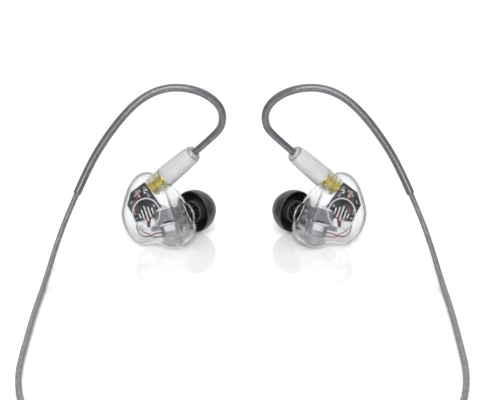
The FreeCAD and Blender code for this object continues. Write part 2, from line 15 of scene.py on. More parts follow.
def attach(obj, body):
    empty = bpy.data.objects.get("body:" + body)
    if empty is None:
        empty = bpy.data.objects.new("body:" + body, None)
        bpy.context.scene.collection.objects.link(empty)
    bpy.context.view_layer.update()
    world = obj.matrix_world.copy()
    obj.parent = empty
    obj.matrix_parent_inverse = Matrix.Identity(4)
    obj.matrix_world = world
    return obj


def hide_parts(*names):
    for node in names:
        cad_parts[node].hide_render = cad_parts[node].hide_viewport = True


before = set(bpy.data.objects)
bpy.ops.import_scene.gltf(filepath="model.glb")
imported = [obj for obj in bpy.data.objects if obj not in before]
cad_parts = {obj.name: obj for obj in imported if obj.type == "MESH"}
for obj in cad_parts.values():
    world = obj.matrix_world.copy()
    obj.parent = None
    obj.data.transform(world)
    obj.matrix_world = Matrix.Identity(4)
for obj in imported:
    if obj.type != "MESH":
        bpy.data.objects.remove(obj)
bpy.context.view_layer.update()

MM = 0.001
SIDES = ("right", "left")

# ---- Where an earphone stands (the right one; the left one is its mirror image) -------------
STANCE = (Matrix.Translation(Vector((-28.6, -5.35, 9.45)) * MM)
          @ Matrix.Rotation(math.radians(-22), 4, "Z") @ Matrix.Rotation(math.radians(-17), 4, "X"))
SOCKET_FOOT = Vector((2.55, 4.0, 10.65))
SOCKET_DIR = Vector((math.cos(math.radians(44)), 0, math.sin(math.radians(44))))
NOZZLE_AT = Vector((8.6, 13.8, 1.4))
NOZZLE_DIR = Vector((math.sin(math.radians(18)) * math.cos(math.radians(16.5)),
                     math.cos(math.radians(18)) * math.cos(math.radians(16.5)),
                     math.sin(math.radians(16.5))))

# ---- Cable: route points of the right leg and of the main lead, in millimetres ---------------
HOOK_D, LEG_D, MAIN_D = 2.1, 1.6, 2.4
LEG_TWIST_D = 1.68     # over the crowns of the leg's strands
STRANDS = 4
LEG_LAY, MAIN_LAY = 2.5, 4.0       # a strand goes once round the cord in this length
STEPS_A_TURN = 9                   # points along a strand for each turn
STRAND_OVERLAP = 1.04              # strands press into one another by this much
RIDGE_PITCH, RIDGE_STEP = 0.42, 0.07       # fine ridges across the hook, and the mesh's step
RIDGE_DEEP = (0.012, 0.03)         # their depth at the boot, and what it gains by the far end
HOOK_TAPER, HOOK_TIP = 0.9, 0.92   # the last stretch of the hook, and what is left of its radius
HOOK_SHARE = (0.0, 0.08, 0.32, 0.7, 1.0)       # places along the hook, as shares of its length
HOOK_SWELL = (0.0, 0.02, 0.13, 0.12, 0.11)     # how much the hook's radius has grown at each
BOOT_SEAT, HOOK_RISE = 11.75, 19.8
HOOK_ROUTE = [(-6.1, -3.2, 35.5), (-6.2, -3.9, 40.6), (-10.1, -4.4, 44.8), (-16.0, -5.1, 47.1),
              (-22.5, -5.8, 47.3), (-28.7, -6.7, 44.8), (-34.4, -7.9, 39.7), (-40.5, -9.2, 31.7),
              (-44.7, -10.7, 24.5)]
LEG_ROUTE = [(-50.2, -17.5, 12.8), (-52.6, -26.0, 6.6), (-54.2, -39.2, 0.85), (-54.3, -58.0, 0.85),
             (-53.8, -80.0, 0.85), (-53.0, -102.0, 0.85), (-48.5, -121.5, 0.85), (-31.0, -129.5, 0.85),
             (-1.3, -135.0, 2.0), (-1.3, -153.0, 2.0), (-1.3, -164.5, 2.0)]
HOOK_END = Vector((-47.725, -14.44, 18.065))
MAIN_ROUTE = [(0.0, -180.5, 2.0), (0.0, -192.0, 1.6), (6.0, -201.5, 1.25)]
COIL_AT = (0.0, -218.0)
COIL_R = 14.4
COIL_ROWS = (1.85, 4.15, 6.45, 8.75)
COIL_HALF = 3.0        # the turns lie this far to each side of COIL_R
COIL_FROM, COIL_TO = 30, -3690     # degrees about the coil's middle
COIL_POINTS = 165
ROW_CLIMB = 0.07       # share of a row in which the cord climbs to the next
TIE_MIDDLE_Z = 5.3
TIE_WIDE, TIE_HIGH = 4.7, 4.65     # half sizes of the coil's section inside the strap
TIE_AT = 130.0
RELIEF_LONG = 9.0
PLUG_DIR = Vector((-2.5, 15.0, 0.0)).normalized()
RELIEF_AT = Vector((-37.0, -200.0, 4.0)) - PLUG_DIR * (RELIEF_LONG - 1.0)
GRIP_AT = RELIEF_AT + PLUG_DIR * RELIEF_LONG
TAIL_ROUTE = [(-12.0, -233.9, 6.2), (-26.0, -227.5, 3.7), (-34.5, -215.0, 4.0), (-37.0, -200.0, 4.0)]


# ---- Materials -------------------------------------------------------------------------------
class Look:
    """A Principled material.  Its sockets get plain values, and its nodes add what varies."""

    def __init__(self, name, colour, rough, **sockets):
        self.mat = bpy.data.materials.new(name)
        self.mat.use_nodes = True
        self.tree = self.mat.node_tree
        self.shader = self.tree.nodes["Principled BSDF"]
        self.set("Base Color", (*colour, 1))
        self.set("Roughness", rough)
        for key, value in sockets.items():
            self.set(key.replace("_", " ").title().replace("Ior", "IOR"), value)
        self.place = self.tree.nodes.new("ShaderNodeTexCoord").outputs["Object"]

    def set(self, socket, value):
        self.shader.inputs[socket].default_value = value

    def node(self, kind, **values):
        made = self.tree.nodes.new("ShaderNode" + kind)
        for key, value in values.items():
            if key in made.inputs:
                made.inputs[key].default_value = value
            else:
                setattr(made, key, value)
        return made

    def join(self, source, target):
        self.tree.links.new(source, target)

    def noise(self, size, detail=3.0, stretch=(1, 1, 1)):
        """Noise whose features are about that many millimetres across."""
        mapping = self.node("Mapping")
        mapping.inputs["Scale"].default_value = [s / (size * MM) for s in stretch]
        self.join(self.place, mapping.inputs["Vector"])
        noise = self.node("TexNoise", Scale=1.0, Detail=detail)
        self.join(mapping.outputs["Vector"], noise.inputs["Vector"])
        return noise.outputs["Fac"]

    def cells(self, size):
        """Cells that are that many millimetres across."""
        mapping = self.node("Mapping")
        mapping.inputs["Scale"].default_value = [1 / (size * MM)] * 3
        self.join(self.place, mapping.inputs["Vector"])
        cells = self.node("TexVoronoi", Scale=1.0)
        self.join(mapping.outputs["Vector"], cells.inputs["Vector"])
        return cells.outputs["Distance"]

    def ramp(self, source, *stops):
        ramp = self.node("ValToRGB")
        line = ramp.color_ramp
        while len(line.elements) < len(stops):
            line.elements.new(0.5)
        for element, (at, colour) in zip(line.elements, stops):
            element.position = at
            element.color = (*colour, 1)
        self.join(source, ramp.inputs["Fac"])
        return ramp.outputs["Color"]

    def vary_colour(self, source, *stops):
        self.join(self.ramp(source, *stops), self.shader.inputs["Base Color"])
        return self

    def vary_rough(self, source, low, high):
        span = self.node("MapRange")
        span.inputs["To Min"].default_value = low
        span.inputs["To Max"].default_value = high
        self.join(source, span.inputs["Value"])
        self.join(span.outputs["Result"], self.shader.inputs["Roughness"])
        return self

    def bump(self, source, depth, strength=1.0):
        """Bump of that many millimetres."""
        bump = self.node("Bump", Strength=strength, Distance=depth * MM)
        self.join(source, bump.inputs["Height"])
        self.join(bump.outputs["Normal"], self.shader.inputs["Normal"])
        return self


def grey(value):
    return (value, value, value)


def make_looks():
    looks = {}

    def add(name, *args, **sockets):
        looks[name] = Look(name, *args, **sockets)
        return looks[name]

    acrylic = add("clear_shell", (0.97, 0.98, 0.985), 0.02, transmission_weight=1.0, ior=1.36,
                  alpha=0.78, coat_weight=0.4, coat_roughness=0.02)
    wash = acrylic.noise(5.0, 2.0)
    acrylic.vary_colour(wash, (0.3, (0.95, 0.965, 0.975)), (0.7, (0.985, 0.99, 0.99)))
    acrylic.bump(acrylic.noise(2.4, 1.0), 0.025, 0.4)

    gold = add("gold", (0.85, 0.7, 0.22), 0.24, metallic=0.75)
    wear = gold.noise(0.9, 4.0)
    gold.vary_colour(wear, (0.25, (0.78, 0.62, 0.05)), (0.75, (1.0, 0.86, 0.14)))
    gold.vary_rough(gold.noise(0.3), 0.16, 0.38)
    gold.bump(gold.noise(0.12), 0.004, 0.4)

    white = add("white_plastic", grey(0.86), 0.45, subsurface_weight=0.1)
    white.vary_colour(white.noise(1.6), (0.3, (0.88, 0.88, 0.89)), (0.7, (0.97, 0.97, 0.96)))
    white.bump(white.noise(0.25), 0.01, 0.5)

    board = add("board", grey(0.04), 0.3)
    board.vary_colour(board.noise(2.6), (0.35, (0.012, 0.012, 0.014)), (0.65, (0.085, 0.086, 0.092)))
    board.bump(board.noise(0.5), 0.01, 0.5)

    solder = add("solder", grey(0.7), 0.3, metallic=1.0)
    solder.vary_colour(solder.noise(0.35), (0.3, (0.50, 0.49, 0.48)), (0.7, (0.85, 0.85, 0.86)))
    solder.bump(solder.noise(0.15), 0.02, 0.6)

    can = add("driver_metal", grey(0.4), 0.3, metallic=0.5)
    can.vary_colour(can.noise(3.0), (0.35, (0.31, 0.315, 0.335)), (0.65, (0.45, 0.45, 0.47)))
    can.vary_rough(can.noise(0.6, 4.0), 0.26, 0.42)
    can.bump(can.noise(0.08, 2.0, (1, 1, 6)), 0.003, 0.5)

    # painted light: a lighter grey used only on the high driver's top, standing for its lit side
    painted_light_look = add("painted_light_grey", grey(0.66), 0.35, metallic=0.2)
    painted_light_look.vary_colour(painted_light_look.noise(2.5), (0.3, (0.76, 0.76, 0.78)), (0.7, (0.86, 0.86, 0.87)))
    painted_light_look.bump(painted_light_look.noise(0.15), 0.004, 0.4)

    tube = add("clear_tube", (0.93, 0.94, 0.95), 0.08, transmission_weight=0.9, ior=1.41)
    tube.bump(tube.noise(0.8), 0.02, 0.3)
    tube.vary_colour(tube.noise(1.5), (0.3, (0.88, 0.89, 0.9)), (0.7, (0.96, 0.96, 0.96)))

    for name, dark, light in (("wire_red", (0.09, 0.006, 0.009), (0.24, 0.02, 0.02)),
                              ("wire_copper", (0.16, 0.07, 0.02), (0.36, 0.17, 0.06))):
        wire = add(name, light, 0.3, coat_weight=0.6)
        wire.vary_colour(wire.noise(0.7), (0.3, dark), (0.7, light))
        wire.bump(wire.noise(0.12), 0.008, 0.4)

    mesh = add("steel_screen", grey(0.6), 0.35, metallic=1.0)
    holes = mesh.cells(0.16)
    mesh.vary_colour(holes, (0.2, grey(0.05)), (0.5, grey(0.7)))
    mesh.bump(holes, 0.04, 0.8)

    tip = add("tip_silicone", grey(0.018), 0.38, coat_weight=0.15, coat_roughness=0.3)
    skin = tip.noise(0.18, 4.0)
    tip.vary_colour(tip.noise(2.0), (0.3, grey(0.012)), (0.7, grey(0.028)))
    tip.vary_rough(tip.noise(0.8), 0.32, 0.5)
    tip.bump(skin, 0.012, 0.5)

    core = add("tip_core", grey(0.022), 0.6)
    core.vary_colour(core.cells(0.35), (0.2, grey(0.012)), (0.7, grey(0.03)))
    core.bump(core.cells(0.35), 0.05, 0.8)

    boot = add("boot_plastic", grey(0.84), 0.45, specular_ior_level=0.3)
    boot.vary_colour(boot.noise(3.0), (0.3, (0.81, 0.81, 0.815)), (0.7, (0.87, 0.87, 0.87)))
    boot.bump(boot.noise(0.22), 0.008, 0.5)

    relief = add("relief_plastic", grey(0.3), 0.4)
    relief.vary_colour(relief.noise(2.0), (0.3, (0.33, 0.33, 0.345)), (0.7, (0.41, 0.41, 0.43)))
    relief.bump(relief.noise(0.2), 0.01, 0.5)

    end = add("boot_end", grey(0.52), 0.4)
    end.vary_colour(end.noise(2.0), (0.3, (0.48, 0.48, 0.485)), (0.7, (0.56, 0.56, 0.565)))
    end.bump(end.noise(0.2), 0.01, 0.5)

    skin = add("boot_skin", grey(0.8), 0.14, transmission_weight=1.0, ior=1.42, alpha=0.88)
    skin.vary_colour(skin.noise(2.0), (0.3, (0.76, 0.765, 0.77)), (0.7, (0.83, 0.835, 0.84)))
    skin.bump(skin.noise(0.3), 0.008, 0.4)

    hook = add("hook_sleeve", grey(0.1), 0.3, specular_ior_level=0.6, coat_weight=1.0,
               coat_roughness=0.14)
    hook.vary_colour(hook.noise(1.2, 4.0), (0.3, (0.048, 0.049, 0.057)), (0.7, (0.078, 0.079, 0.088)))
    hook.vary_rough(hook.noise(0.5), 0.24, 0.38)
    hook.bump(hook.noise(0.15), 0.01, 0.4)

    braid = add("braid", grey(0.12), 0.3, coat_weight=1.0, coat_roughness=0.1)
    braid.vary_colour(braid.noise(0.9, 4.0), (0.3, (0.07, 0.07, 0.08)), (0.7, (0.16, 0.16, 0.175)))
    braid.bump(braid.noise(0.12), 0.015, 0.5)

    strap = add("strap", grey(0.03), 0.9, sheen_weight=0.4)
    loops = strap.cells(0.25)
    strap.vary_colour(loops, (0.1, grey(0.07)), (0.6, grey(0.015)))
    strap.bump(loops, 0.12, 0.9)

    rubber = add("plug_rubber", grey(0.08), 0.5)
    rubber.vary_colour(rubber.noise(1.0), (0.3, grey(0.05)), (0.7, grey(0.09)))
    rubber.bump(rubber.noise(0.2), 0.02, 0.5)

    alloy = add("plug_metal", grey(0.35), 0.3, metallic=1.0)
    alloy.vary_colour(alloy.noise(1.5), (0.3, (0.28, 0.28, 0.30)), (0.7, (0.40, 0.40, 0.42)))
    alloy.bump(alloy.noise(0.08, 2.0, (6, 1, 1)), 0.005, 0.5)

    black = add("black_plastic", grey(0.02), 0.35)
    black.vary_colour(black.noise(0.8), (0.3, grey(0.012)), (0.7, grey(0.03)))
    black.bump(black.noise(0.2), 0.01, 0.4)

    ink = add("white_print", grey(0.45), 0.5)
    ink.vary_colour(ink.noise(0.5), (0.3, (0.38, 0.39, 0.41)), (0.7, (0.52, 0.53, 0.55)))
    ink.bump(ink.noise(0.1), 0.006, 0.5)

    flux = add("red_solder", (0.8, 0.4, 0.38), 0.3)
    flux.vary_colour(flux.noise(0.4), (0.3, (0.55, 0.16, 0.15)), (0.7, (0.95, 0.62, 0.60)))
    flux.bump(flux.noise(0.2), 0.03, 0.6)
    return looks


LOOKS = make_looks()
NODE_LOOKS = {"shell": "clear_shell", "faceplate": "clear_shell", "socket": "gold",
              "socket_insulator": "white_plastic", "socket_contact": "gold", "crossover_board": "board",
              "crossover_parts": "solder", "low_driver": "driver_metal", "mid_driver": "driver_metal",
              "high_driver": "driver_metal", "driver_cradle": "white_plastic", "sound_tubes": "clear_tube",
              "dampers": "black_plastic", "nozzle_screen": "steel_screen", "plug_body": "gold",
              "plug_insulator": "white_plastic", "plug_pin": "gold", "snap_ring": "gold",
              "boot": "boot_skin", "splitter": "hook_sleeve", "chin_slider": "relief_plastic",
              "jack_sleeve": "gold", "jack_ring": "gold", "jack_tip": "gold",
              "jack_insulators": "black_plastic", "driver_wires": "wire_red", "ear_tip": "tip_silicone",
              "ear_hook": "hook_sleeve", "leg_cord": "braid", "main_cord": "braid", "cord_coil": "braid",
              "coil_tie": "strap", "plug_cord": "braid", "plug_relief": "plug_rubber",
              "plug_grip": "plug_metal"}
for node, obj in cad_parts.items():
    plain = node.split("_", 1)[1] if node.startswith(SIDES) else node
    for place in obj.material_slots:
        place.material = LOOKS[NODE_LOOKS[plain]].mat


# ---- Mesh helpers ----------------------------------------------------------------------------
def piece(name, verts, faces, look, body, slot=None):
    """A mesh piece in the row frame (metres) that rides on a body."""
    mesh = bpy.data.meshes.new(name)
    mesh.from_pydata([tuple(v) for v in verts], [], faces)
    mesh.validate()
    mesh.materials.append(LOOKS[look].mat)
    mesh.polygons.foreach_set("use_smooth", [True] * len(mesh.polygons))
    made = bpy.data.objects.new(name, mesh)
    bpy.context.scene.collection.objects.link(made)
    tidy = bmesh.new()
    tidy.from_mesh(mesh)
    bmesh.ops.recalc_face_normals(tidy, faces=tidy.faces)
    tidy.to_mesh(mesh)
    tidy.free()
    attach(made, body)
    return made


def on_side(points, side):
    """Points in metres for the wearer's right, mirrored for the left."""
    points = np.array(points, float)
    return points * (-1, 1, 1) if side == "left" else points


def placed(points, side):
    """Points of the earphone's own frame, in millimetres, in the row frame, in metres."""
    here = np.array([STANCE @ (Vector(p) * MM) for p in points])
    return on_side(here, side)


def nurbs_line(points):
    """Points along the smooth NURBS curve that has the given control points, all in metres."""
    curve = bpy.data.curves.new("route", "CURVE")
    curve.dimensions = "3D"
    spline = curve.splines.new("NURBS")
    spline.points.add(len(points) - 1)
    for target, point in zip(spline.points, points):
        target.co = (*point, 1)
    spline.order_u = 3
    spline.use_endpoint_u = True
    spline.resolution_u = 12
    holder = bpy.data.objects.new("route", curve)
    mesh = bpy.data.meshes.new_from_object(holder)
    line = np.array([v.co for v in mesh.vertices])
    bpy.data.meshes.remove(mesh)
    bpy.data.objects.remove(holder)
    bpy.data.curves.remove(curve)
    return line


def spaced(line, step):
    """The line at even steps, and each new point's distance along it."""
    along = np.concatenate([[0], np.cumsum(np.linalg.norm(np.diff(line, axis=0), axis=1))])
    count = max(2, int(round(along[-1] / step)) + 1)
    wanted = np.linspace(0, along[-1], count)
    return np.stack([np.interp(wanted, along, line[:, k]) for k in range(3)], axis=1), wanted


def carried_frames(line):
    """Two unit vectors across the line at each point, carried along it without twist."""
    ahead = np.gradient(line, axis=0)
    ahead /= np.linalg.norm(ahead, axis=1)[:, None]
    start = np.array([0.0, 0.0, 1.0]) if abs(ahead[0][2]) < 0.9 else np.array([1.0, 0.0, 0.0])
    across = []
    for here in ahead:
        start = start - here * start.dot(here)
        start = start / np.linalg.norm(start)
        across.append(start)
    across = np.array(across)
    return across, np.cross(ahead, across)


def tube_mesh(line, radii, sides=16):
    """Round tube with closed ends along a line, with a radius at each point."""
    first, second = carried_frames(line)
    angles = np.arange(sides) * 2 * math.pi / sides
    rings = (line[:, None, :] + np.asarray(radii)[:, None, None]
             * (first[:, None, :] * np.cos(angles)[None, :, None]
                + second[:, None, :] * np.sin(angles)[None, :, None]))
    count = len(line)
    faces = [(i * sides + k, i * sides + (k + 1) % sides, (i + 1) * sides + (k + 1) % sides,
              (i + 1) * sides + k) for i in range(count - 1) for k in range(sides)]
    faces.append(tuple(range(sides - 1, -1, -1)))
    faces.append(tuple((count - 1) * sides + k for k in range(sides)))
    return rings.reshape(-1, 3), faces


def gathered(parts):
    """Several (verts, faces) as one."""
    verts, faces, shift = [], [], 0
    for some, these in parts:
        verts.append(np.asarray(some))
        faces += [tuple(i + shift for i in face) for face in these]
        shift += len(some)
    return np.concatenate(verts), faces


def lathe(profile, start, along, steps=64):
    """Closed surface of revolution.  The profile is a closed loop of (distance along, radius)."""
    along = np.array(along, float)
    along /= np.linalg.norm(along)
    side = np.cross(along, (0, 0, 1) if abs(along[2]) < 0.9 else (1, 0, 0))
    side /= np.linalg.norm(side)
    up = np.cross(along, side)
    angles = np.arange(steps) * 2 * math.pi / steps
    ring = np.cos(angles)[:, None] * side + np.sin(angles)[:, None] * up
    verts = np.concatenate([np.array(start) + a * along + r * ring for a, r in profile])
    count = len(profile)
    faces = [(i * steps + k, ((i + 1) % count) * steps + k, ((i + 1) % count) * steps + (k + 1) % steps,
              i * steps + (k + 1) % steps) for i in range(count) for k in range(steps)]
    return verts, faces


# ---- Cords -----------------------------------------------------------------------------------
def strands(line, diameter, lay, sides=8):
    """Twisted strands that together are as thick as the cord."""
    strand = diameter / (1 + 1 / math.sin(math.pi / STRANDS)) * STRAND_OVERLAP
    ring = diameter / 2 - strand / 2
    points, along = spaced(line, lay / STEPS_A_TURN)
    first, second = carried_frames(points)
    made = []
    for k in range(STRANDS):
        angle = along / lay * 2 * math.pi + k * 2 * math.pi / STRANDS
        route = points + ring * (first * np.cos(angle)[:, None] + second * np.sin(angle)[:, None])
        made.append(tube_mesh(route, np.full(len(route), strand / 2), sides))
    return gathered(made)


def hook_sleeve(line, end, side):
    """Moulded sleeve over the cord, with fine ridges across it, drawn in at its far end."""
    points, along = spaced(line, RIDGE_STEP * MM)
    keep = along <= end
    points, along = points[keep], along[keep]
    ridge = 0.5 + 0.5 * np.cos(along / (RIDGE_PITCH * MM) * 2 * math.pi)
    swell = np.interp(along / end, HOOK_SHARE, HOOK_SWELL)
    deep = RIDGE_DEEP[0] + RIDGE_DEEP[1] * along / end
    taper = np.clip((end - along) / (HOOK_TAPER * MM), 0, 1)
    radii = (HOOK_D / 2 + swell - deep * ridge) * MM * (HOOK_TIP + (1 - HOOK_TIP) * np.sqrt(taper))
    verts, faces = tube_mesh(points, radii, 20)
    return piece(side + "_hook_sleeve", verts, faces, "hook_sleeve", "cable", "hook_sleeve")


def leg(side):
    boot_axis = [STANCE @ ((SOCKET_FOOT + SOCKET_DIR * d) * MM) for d in (BOOT_SEAT, HOOK_RISE)]
    route = [tuple(p) for p in boot_axis] + [tuple(c * MM for c in p) for p in HOOK_ROUTE + LEG_ROUTE]
    line = nurbs_line(on_side(route, side))
    end = on_side([HOOK_END * MM], side)[0]
    nearest = int(np.argmin(np.linalg.norm(line - end, axis=1)))
    hook_long = float(np.linalg.norm(np.diff(line[:nearest + 1], axis=0), axis=1).sum())
    sleeve = hook_sleeve(line, hook_long, side)
    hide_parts(side + "_ear_hook")
    verts, faces = strands(line, LEG_TWIST_D * MM, LEG_LAY * MM)
    cord = piece(side + "_cord", verts, faces, "braid", "cable", "braid")
    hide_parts(side + "_leg_cord")


for side in SIDES:
    leg(side)


def coil_points():
    """The turns of the coil, clockwise: the first row goes inwards, the next outwards, and so on."""
    rows = len(COIL_ROWS)
    start, finish = math.radians(COIL_FROM), math.radians(COIL_TO)
    points = []
    for i in range(COIL_POINTS):
        share = i / (COIL_POINTS - 1)
        angle = start + (finish - start) * share
        row = min(rows - 1, int(share * rows))
        within = share * rows - row
        out = within if row % 2 else 1 - within
        radius = COIL_R - COIL_HALF + 2 * COIL_HALF * out
        climb = np.clip((within - (1 - ROW_CLIMB)) / ROW_CLIMB, 0, 1)
        high = COIL_ROWS[row]
        if row < rows - 1:
            high += (COIL_ROWS[row + 1] - high) * climb
        points.append((COIL_AT[0] + radius * math.cos(angle), COIL_AT[1] + radius * math.sin(angle), high))
    return points


def strap():
    """Hook-and-loop strap round the coil's turns, with its loose end lapped over the top."""
    turns = np.radians(TIE_AT + np.array([0.0, 0.25, 1, 6, 12, 18, 23, 23.75, 24.0]))
    inside = np.array([0.26, 0.12, 0.05, 0.04, 0.04, 0.04, 0.05, 0.12, 0.26])
    outside = np.array([0.34, 0.47, 0.56, 0.58, 0.59, 0.58, 0.56, 0.47, 0.34])

    def layer(start, stop, lift, count):
        """Part of the strap between two angles round the section, which are measured from outside."""
        around = np.radians(np.linspace(start, stop, count))
        rows = []
        for angle in around:
            for turn, grown in list(zip(turns, inside)) + list(zip(turns[::-1], outside[::-1])):
                radius = COIL_R + (TIE_WIDE + grown + lift) * math.cos(angle)
                rows.append((COIL_AT[0] + radius * math.cos(turn), COIL_AT[1] + radius * math.sin(turn),
                             TIE_MIDDLE_Z + (TIE_HIGH + grown + lift) * math.sin(angle)))
        ring = 2 * len(turns)
        faces = [(i * ring + k, i * ring + (k + 1) % ring, (i + 1) * ring + (k + 1) % ring,
                  (i + 1) * ring + k) for i in range(count - 1) for k in range(ring)]
        faces.append(tuple(range(ring - 1, -1, -1)))
        faces.append(tuple((count - 1) * ring + k for k in range(ring)))
        return np.array(rows) * MM, faces

    band = layer(-40, 318, 0.0, 72)
    lap = layer(-30, 95, 0.57, 26)
    made = piece("coil_strap", *gathered([band, lap]), "strap", "cable", "strap")
    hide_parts("coil_tie")
    return made


def fluted(name, rings, start, along, count, look, slot, steps=192):
    """Turned piece whose surface has flutes.  Each ring is (distance along, radius, flute depth)."""
    along = along.normalized()
    across = along.cross(Vector((0, 0, 1))).normalized()
    up = along.cross(across)
    verts, faces = [], []
    for a, r, depth in rings:
        for k in range(steps):
            angle = 2 * math.pi * k / steps
            radius = r - depth * (0.5 + 0.5 * math.cos(count * angle))
            out = across * math.cos(angle) + up * math.sin(angle)
            verts.append((start + along * a + out * radius) * MM)
    for i in range(len(rings) - 1):
        faces += [(i * steps + k, i * steps + (k + 1) % steps, (i + 1) * steps + (k + 1) % steps,
                   (i + 1) * steps + k) for k in range(steps)]
    faces.append(tuple(range(steps - 1, -1, -1)))
    faces.append(tuple((len(rings) - 1) * steps + k for k in range(steps)))
    return piece(name, verts, faces, look, "cable", slot)


def plug_sleeve():
    """Ribbed strain relief, tapered towards the cord."""
    rings = [(0.0, 1.3, 0), (0.0, 1.75, 0), (0.15, 1.9, 0)]
    for rib in range(6):
        foot = 0.5 + rib * 1.25
        wide = 1.92 + (2.88 - 1.92) * foot / RELIEF_LONG
        rings += [(foot, wide, 0), (foot + 0.12, wide - 0.38, 0), (foot + 0.42, wide - 0.36, 0),
                  (foot + 0.54, wide + 0.06, 0)]
    rings += [(8.2, 2.84, 0), (8.85, 2.9, 0), (8.98, 2.8, 0), (8.98, 2.0, 0)]
    made = fluted("plug_sleeve", rings, RELIEF_AT, PLUG_DIR, 1, "plug_rubber", "plug_rubber", 64)
    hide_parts("plug_relief")
    return made


def plug_barrel():
    """Knurled grip of the plug."""
    rings = [(0.02, 3.0, 0), (0.02, 3.3, 0), (0.25, 3.62, 0), (0.6, 3.86, 0), (1.8, 3.9, 0), (2.0, 3.78, 0),
             (2.3, 3.78, 0), (2.5, 3.9, 0), (2.7, 3.9, 0.16)]
    rings += [(2.7 + 0.5 * k, 3.9, 0.18) for k in range(1, 15)]
    rings += [(9.9, 3.9, 0), (10.1, 3.78, 0), (10.4, 3.78, 0), (10.6, 3.9, 0), (11.8, 3.9, 0), (12.0, 3.8, 0),
              (12.05, 3.42, 0), (15.1, 3.4, 0), (15.35, 3.25, 0), (15.48, 3.05, 0), (15.48, 1.76, 0)]
    made = fluted("plug_barrel", rings, GRIP_AT, PLUG_DIR, 32, "plug_metal", "plug_metal")
    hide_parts("plug_grip")
    return made


route = MAIN_ROUTE + coil_points() + TAIL_ROUTE
line = nurbs_line([tuple(c * MM for c in p) for p in route])
verts, faces = strands(line, MAIN_D * MM, MAIN_LAY * MM)
main_lead = piece("main_lead", verts, faces, "braid", "cable", "braid")
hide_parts("main_cord", "cord_coil", "plug_cord")
strap()
plug_sleeve()
plug_barrel()


# ---- Earphone pieces ---------------------------------------------------------------------------
def world_axis(side, along):
    """A direction of the earphone's own frame, in the row frame."""
    turned = STANCE.to_3x3() @ along
    return on_side([turned], side)[0]


def turned_piece(name, profile, foot, along, side, look, body, steps=64, slot=None, level=1):
    """Piece turned on an axis of the earphone, from a closed profile in millimetres."""
    start = placed([foot], side)[0]
    verts, faces = lathe([(a * MM, r * MM) for a, r in profile], start, world_axis(side, along), steps)
    made = piece(f"{side}_{name}", verts, faces, look, body, slot)
    if level:
        smooth = made.modifiers.new("smooth", "SUBSURF")
        smooth.levels = smooth.render_levels = level
    return made


def block(name, size, centre, turn, side, look, body, slot=None, rounding=0.06):
    """Small block with rounded edges in the earphone's frame, turned about Y so that +X rises."""
    made = bmesh.new()
    bmesh.ops.create_cube(made, size=1.0)
    bmesh.ops.scale(made, vec=size, verts=made.verts)
    bmesh.ops.bevel(made, geom=made.edges, offset=rounding, segments=3, profile=0.5, affect="EDGES")
    turned = Matrix.Translation(centre) @ Matrix.Rotation(-math.radians(turn), 4, "Y")
    made.transform(turned)
    verts = placed([v.co for v in made.verts], side)
    faces = [tuple(v.index for v in f.verts) for f in made.faces]
    made.free()
    return piece(f"{side}_{name}", verts, faces, look, body, slot)


def joined(name, parts):
    """Several pieces of one look and body as one."""
    with bpy.context.temp_override(active_object=parts[0], selected_editable_objects=parts):
        bpy.ops.object.join()
    parts[0].name = name
    return parts[0]


TIP_DOME = [(4.7, 3.3), (5.4, 3.6), (6.1, 4.05), (5.9, 4.5), (5.0, 4.95), (3.8, 5.4), (2.6, 5.75),
            (1.3, 5.9), (0.25, 5.95), (0.02, 6.05), (0.0, 6.2), (0.08, 6.36), (0.4, 6.44), (1.6, 6.4),
            (2.7, 6.2), (3.8, 5.8), (4.8, 5.2), (5.7, 4.5), (6.5, 3.7), (7.2, 3.05), (7.75, 2.65),
            (7.98, 2.35), (7.95, 2.05), (7.7, 1.92), (6.2, 1.9), (4.95, 1.9), (4.88, 2.4), (4.7, 2.9)]
TIP_CORE = [(-0.05, 2.7), (-0.1, 3.1), (0.0, 3.4), (0.25, 3.5), (1.2, 3.5), (2.4, 3.5), (3.6, 3.5),
            (5.0, 3.55), (5.3, 3.3), (4.9, 2.9), (3.6, 2.86), (1.8, 2.86), (0.3, 2.84)]
BOOT_CORE = [(0.55, 2.3), (0.55, 2.6), (0.62, 2.72), (0.85, 2.83), (1.2, 2.85), (5.0, 2.74), (9.4, 2.6),
             (10.9, 2.46), (11.25, 2.36), (11.32, 2.1), (11.25, 1.6), (10.9, 1.45), (5.0, 1.5), (3.6, 1.5),
             (3.3, 1.7), (2.9, 2.1), (2.2, 2.28), (1.2, 2.28)]
BOOT_RELIEF = [(11.38, 1.5), (11.38, 1.95), (11.45, 2.1), (11.65, 2.08), (12.0, 1.92), (12.3, 1.76),
               (12.45, 1.62), (12.4, 1.4), (12.0, 1.2), (11.6, 1.2), (11.45, 1.3)]
DRIVER_TURN = 21.5
MID_AT, HIGH_AT = (3.9, -0.5), (6.8, -4.2)
RING_R, RING_WIDE = 4.35, 0.38
BARS = ((-2.2, 1.4), (-1.1, 2.9), (0.0, 4.6), (1.1, 3.2), (2.2, 1.8))
PRINT_Y = -0.02
WIRE_D = 0.4
SINGLE_WIRE = [(-4.1, 1.22, 4.3), (-4.2, 1.22, 2.6), (-3.4, 1.22, 0.9), (-3.7, 1.22, -0.4)]
SECOND_WIRE = [(-3.6, 1.22, 3.6), (-3.5, 1.22, 2.2), (-3.9, 1.22, 1.0), (-3.2, 1.22, -0.5)]
BUNDLE = [(0.5, 1.22, 0.9), (0.55, 1.22, -0.3), (0.75, 1.22, -1.8), (0.65, 1.3, -3.2), (0.45, 2.2, -4.2)]
BUNDLE_WIRES = (-0.51, -0.17, 0.17, 0.51)
PAIR_RED = [(-3.3, 1.6, -3.2), (-3.2, 1.7, -5.3), (-1.4, 2.1, -7.1), (1.0, 2.5, -6.7), (2.4, 3.3, -5.6),
            (4.3, 3.9, -5.2)]
PAIR_COPPER = [(-2.6, 1.9, -4.6), (-1.7, 2.7, -5.8), (0.4, 3.1, -6.1), (2.2, 2.7, -7.1), (4.4, 3.8, -6.3)]
